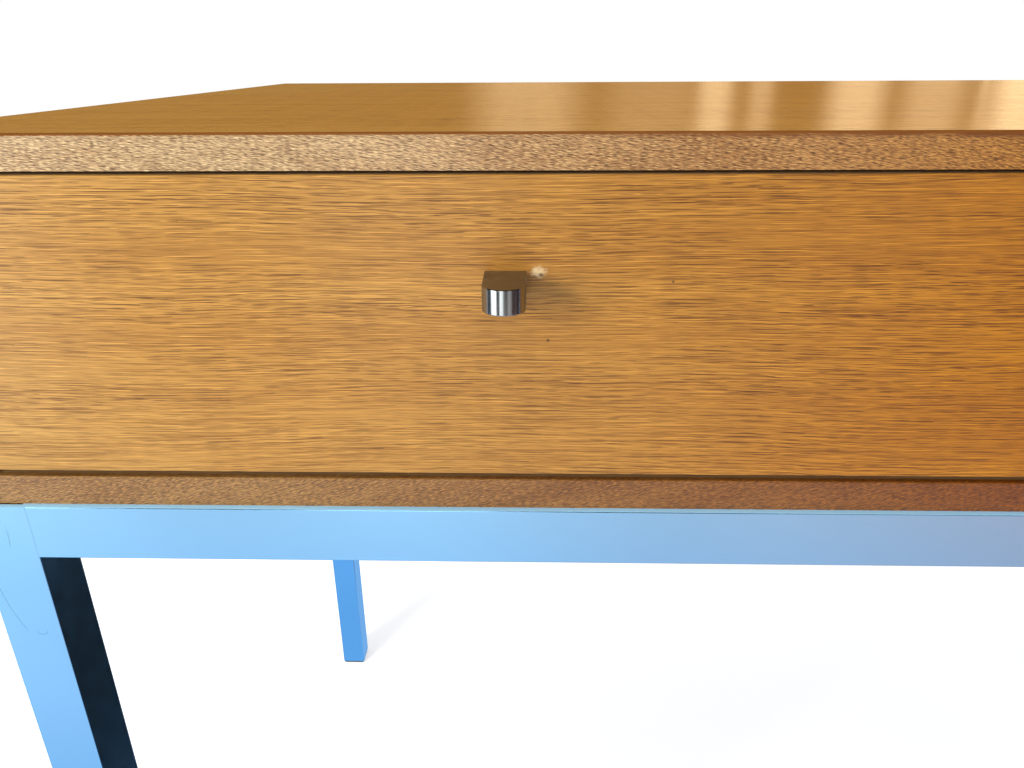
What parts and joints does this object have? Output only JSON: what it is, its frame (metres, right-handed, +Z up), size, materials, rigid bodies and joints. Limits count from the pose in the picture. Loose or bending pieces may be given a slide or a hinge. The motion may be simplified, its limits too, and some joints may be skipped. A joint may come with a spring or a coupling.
{
  "type": "sewing table",
  "caption": "Sewing table: a veneered drawer case on a square-tube metal frame, inset drawers with small steel knobs, and a sliding tray inside.",
  "frame": {"origin": "centre of the whole footprint, knobs included, at floor level", "axes": "+X to the right along the table, +Y to the back, +Z up; the drawers open towards -Y"},
  "size_m": [0.884, 0.5274, 0.678],
  "materials": {
    "frame_metal": "satin, light sky blue",
    "foot_plastic": "matte",
    "face_veneer": "satin lacquer over straight-grained golden veneer",
    "lipping_wood": "satin lacquer over solid brown wood",
    "side_wood": "satin lacquer",
    "core_board": "plain sealed",
    "drawer_wood": "plain sealed",
    "hardwood": "waxed",
    "plywood": "plain sealed",
    "knob_steel": "brushed",
    "screw_steel": "plain"
  },
  "bodies": {
    "table": {"back_panel": "plywood", "back_screws": "screw_steel", "bottom_lipping_front": "lipping_wood", "bottom_lipping_left": "lipping_wood", "bottom_lipping_right": "lipping_wood", "bottom_panel": "core_board", "case_dowels": "hardwood", "case_edge_strips": "lipping_wood", "case_screws": "screw_steel", "corner_plates": "frame_metal", "foot_back_left": "foot_plastic", "foot_back_right": "foot_plastic", "foot_front_left": "foot_plastic", "foot_front_right": "foot_plastic", "leg_back_left": "frame_metal", "leg_back_right": "frame_metal", "leg_front_left": "frame_metal", "leg_front_right": "frame_metal", "partition": "core_board", "rail_back": "frame_metal", "rail_front": "frame_metal", "rail_left": "frame_metal", "rail_right": "frame_metal", "runner_1": "hardwood", "runner_2": "hardwood", "runner_3": "hardwood", "runner_4": "hardwood", "runner_screws": "screw_steel", "side_panel_left": "side_wood", "side_panel_right": "side_wood", "top_lipping_front": "lipping_wood", "top_lipping_left": "lipping_wood", "top_lipping_right": "lipping_wood", "top_panel": "core_board", "top_veneer": "face_veneer"},
    "left_drawer": {"left_drawer_back": "drawer_wood", "left_drawer_bottom": "plywood", "left_drawer_front": "drawer_wood", "left_drawer_side_left": "drawer_wood", "left_drawer_side_right": "drawer_wood", "left_drawer_veneer": "face_veneer", "left_knob": "knob_steel", "left_knob_screw": "screw_steel", "left_tray_ledges": "hardwood"},
    "right_drawer": {"right_drawer_back": "drawer_wood", "right_drawer_bottom": "plywood", "right_drawer_front": "drawer_wood", "right_drawer_side_left": "drawer_wood", "right_drawer_side_right": "drawer_wood", "right_drawer_veneer": "face_veneer", "right_knob": "knob_steel", "right_knob_screw": "screw_steel"},
    "tray": {"tray_back": "drawer_wood", "tray_bottom": "plywood", "tray_dividers": "drawer_wood", "tray_front": "drawer_wood", "tray_side_left": "drawer_wood", "tray_side_right": "drawer_wood", "spool_pegs": "hardwood"}
  },
  "joints": [
    {"name": "left_drawer_slide", "type": "slide", "parent": "table", "child": "left_drawer", "axis": [0, -1, 0], "range_m": [0, 0.36]},
    {"name": "right_drawer_slide", "type": "slide", "parent": "table", "child": "right_drawer", "axis": [0, -1, 0], "range_m": [0, 0.36]},
    {"name": "tray_slide", "type": "slide", "parent": "left_drawer", "child": "tray", "axis": [0, 1, 0], "range_m": [0, 0.222]}
  ]
}
